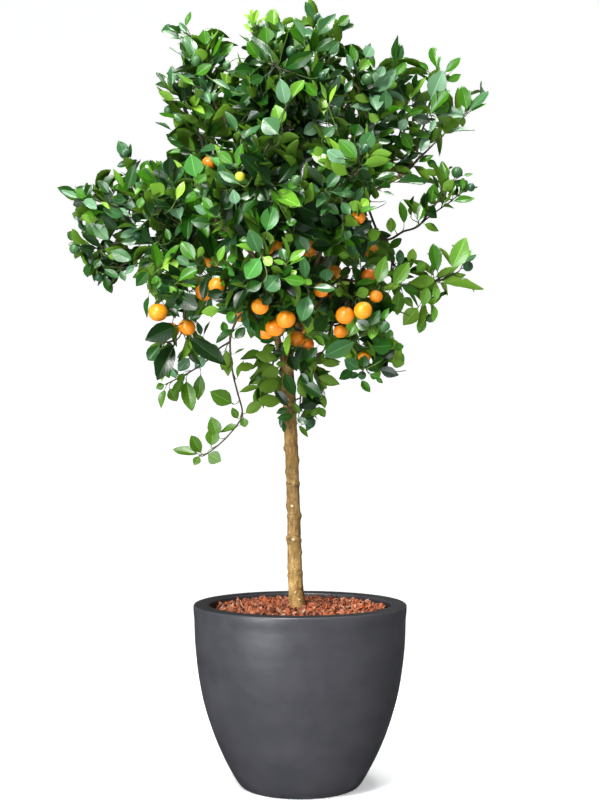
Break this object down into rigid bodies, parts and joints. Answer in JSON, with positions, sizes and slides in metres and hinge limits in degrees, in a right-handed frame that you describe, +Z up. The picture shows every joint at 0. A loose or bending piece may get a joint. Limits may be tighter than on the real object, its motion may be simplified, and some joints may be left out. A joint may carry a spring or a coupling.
{
  "type": "potted calamondin orange tree",
  "caption": "Calamondin orange tree on one clear stem with a loose open crown of glossy leaves and small ripe and green fruit, in a round anthracite planter.",
  "frame": {"origin": "middle of the planter's flat underside, on the surface that it stands on", "axes": "+Z up along the stem, +X to the right as the picture shows the tree, -Y towards the picture's camera"},
  "size_m": [0.7993, 0.6883, 1.4789],
  "materials": {
    "planter": "matte anthracite, hand finished, slightly uneven",
    "root_ball": "moist potting soil",
    "bark_mulch": "chipped reddish bark",
    "bark": "fine speckled bark with nodes and pruned knobs",
    "twig": "green young bark",
    "leaf": "glossy dark green leaves",
    "leaf_young": "fresh light green leaves",
    "fruit_ripe": "waxy pitted orange peel",
    "fruit_green": "waxy unripe peel"
  },
  "bodies": {
    "root": {"planter": "planter", "root_ball": "root_ball", "bark_mulch": "bark_mulch", "trunk": "bark", "bough_leader": "bark", "bough_right": "bark", "bough_front_low": "bark", "bough_left_low": "bark", "bough_left": "bark", "bough_front": "bark", "bough_back_left": "bark", "bough_top_left": "bark", "bough_back_top": "bark", "bough_low_right": "bark", "bough_back_low": "bark", "bough_right_arm": "bark", "bough_front_right": "bark", "bough_back_right": "bark", "hanging_twig_upper": "twig", "hanging_twig_lower": "twig", "hanging_twig_side": "twig", "crown_top_left": "leaf", "crown_top": "leaf", "crown_top_right": "leaf", "crown_right_up": "leaf", "crown_right": "leaf", "spray_right": "leaf", "spray_right_low": "leaf", "crown_left": "leaf", "arm_left": "leaf", "arm_left_low": "leaf", "crown_left_low": "leaf", "droop_left": "leaf", "crown_front_top": "leaf", "crown_front": "leaf", "crown_front_right": "leaf", "crown_front_low": "leaf", "crown_low_right": "leaf", "tuft_left": "leaf", "tuft_right": "leaf", "hanging_side": "leaf", "hanging_mid": "leaf", "hanging_tip": "leaf", "crown_back_top": "leaf", "crown_back_left": "leaf", "crown_back_right": "leaf", "crown_back_low": "leaf", "spray_back": "leaf"}
  },
  "joints": []
}
